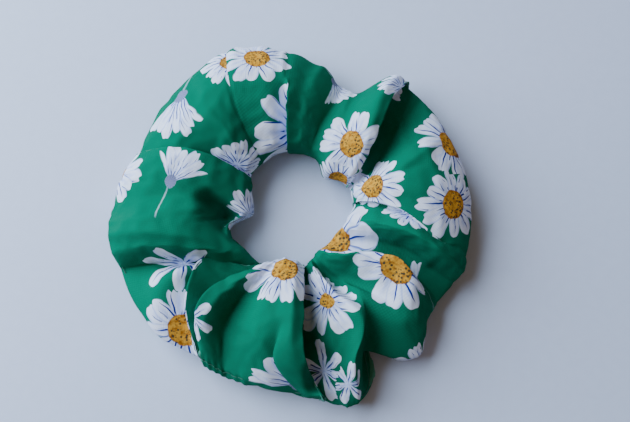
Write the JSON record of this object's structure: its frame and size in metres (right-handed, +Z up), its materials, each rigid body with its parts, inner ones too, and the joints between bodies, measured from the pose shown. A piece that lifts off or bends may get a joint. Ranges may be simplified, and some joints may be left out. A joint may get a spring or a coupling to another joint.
{
  "type": "scrunchie",
  "caption": "Gathered cloth hair tie: a tube of printed cloth drawn into pleats on a hidden elastic loop, with a round opening for the hair.",
  "frame": {"origin": "on the table, under the middle of the tie's box", "axes": "+Z up out of the table and along the axis of the hair's opening; +X right and +Y away from the viewer, with the cross seam at the back left and the closing stitches at the front left"},
  "size_m": [0.1166, 0.1172, 0.0243],
  "materials": {
    "printed_cloth": "light plain-woven viscose, soft sheen, green with tossed white daisies",
    "elastic": "white braided elastic, matte",
    "white_thread": "white polyester sewing thread",
    "green_thread": "dark green polyester sewing thread"
  },
  "bodies": {
    "root": {"fabric_cover": "printed_cloth", "elastic_band": "elastic", "elastic_join_stitches": "white_thread", "long_seam_thread": "green_thread", "cross_seam_thread": "green_thread", "closing_topstitch": "green_thread"}
  },
  "joints": []
}
